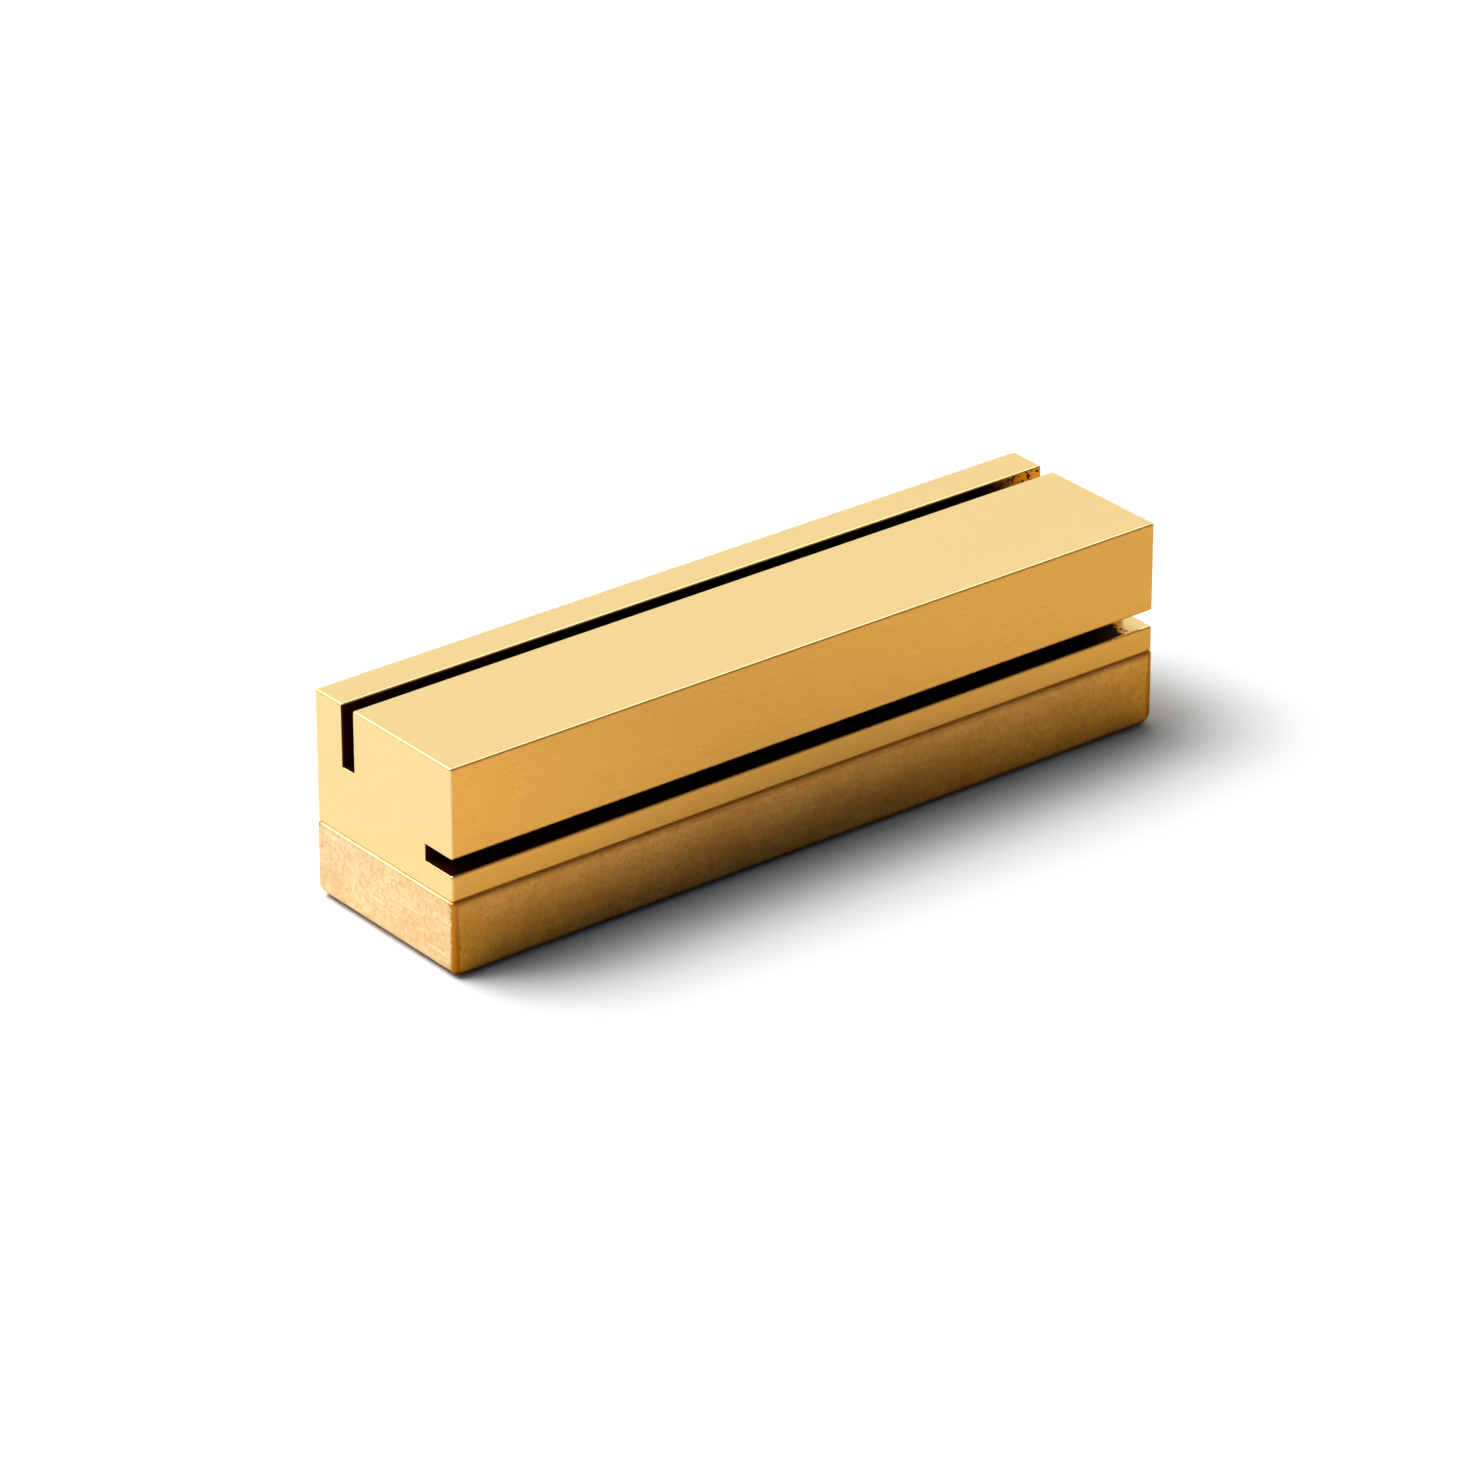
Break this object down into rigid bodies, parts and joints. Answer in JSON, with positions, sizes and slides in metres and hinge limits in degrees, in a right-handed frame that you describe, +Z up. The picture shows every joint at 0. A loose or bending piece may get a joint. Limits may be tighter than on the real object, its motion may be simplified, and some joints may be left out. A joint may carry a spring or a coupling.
{
  "type": "paperweight",
  "caption": "Rectangular brass paperweight: a satin block with a card slot and a front slot, fixed on a raw brass base with a felt underside.",
  "frame": {"origin": "middle of the footprint, on the surface that the felt pad rests on", "axes": "+X along the bar, +Y from the front face with the level slot to the back, +Z up out of the card slot"},
  "size_m": [0.1002, 0.0252, 0.0255],
  "materials": {
    "satin_brass": "fine satin, lightly brushed along the bar",
    "raw_brass": "raw skin with mottled brown patina",
    "felt": "pressed wool felt",
    "blackened_steel": "black oxide",
    "ground_steel": "ground bright"
  },
  "bodies": {
    "root": {"slotted_block": "satin_brass", "base_block": "raw_brass", "felt_pad": "felt", "clamp_screws": "blackened_steel", "dowel_pins": "ground_steel"}
  },
  "joints": []
}
